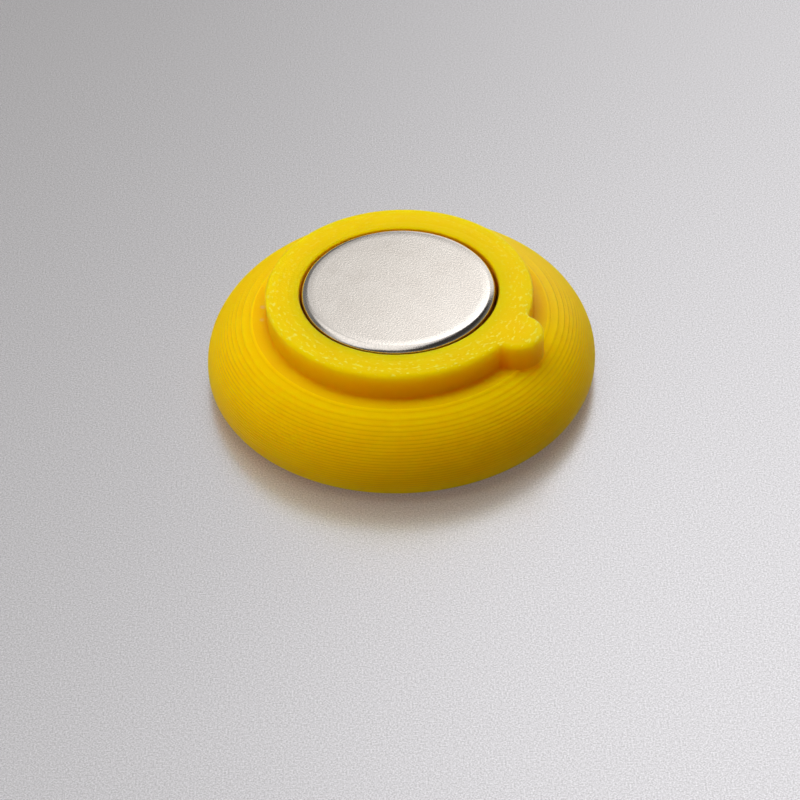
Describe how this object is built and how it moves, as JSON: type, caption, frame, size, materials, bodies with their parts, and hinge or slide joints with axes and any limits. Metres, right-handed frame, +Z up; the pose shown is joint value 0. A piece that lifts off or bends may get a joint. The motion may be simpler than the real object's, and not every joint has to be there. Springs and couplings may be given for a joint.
{
  "type": "board magnet",
  "caption": "Round printed board magnet: domed button body with a lobed collar on its back, out of which a disc magnet stands by a hair.",
  "frame": {"origin": "middle of the flat front face, which is what it lies on", "axes": "+Z up along the axis, from the front face to the magnet's pole face; the collar's lobe points 32 degrees clockwise from +X as seen from above"},
  "size_m": [0.03, 0.03, 0.0082],
  "materials": {
    "yellow_pla": "satin",
    "nickel_plating": "satin"
  },
  "bodies": {
    "root": {"printed_holder": "yellow_pla", "disc_magnet": "nickel_plating"}
  },
  "joints": []
}
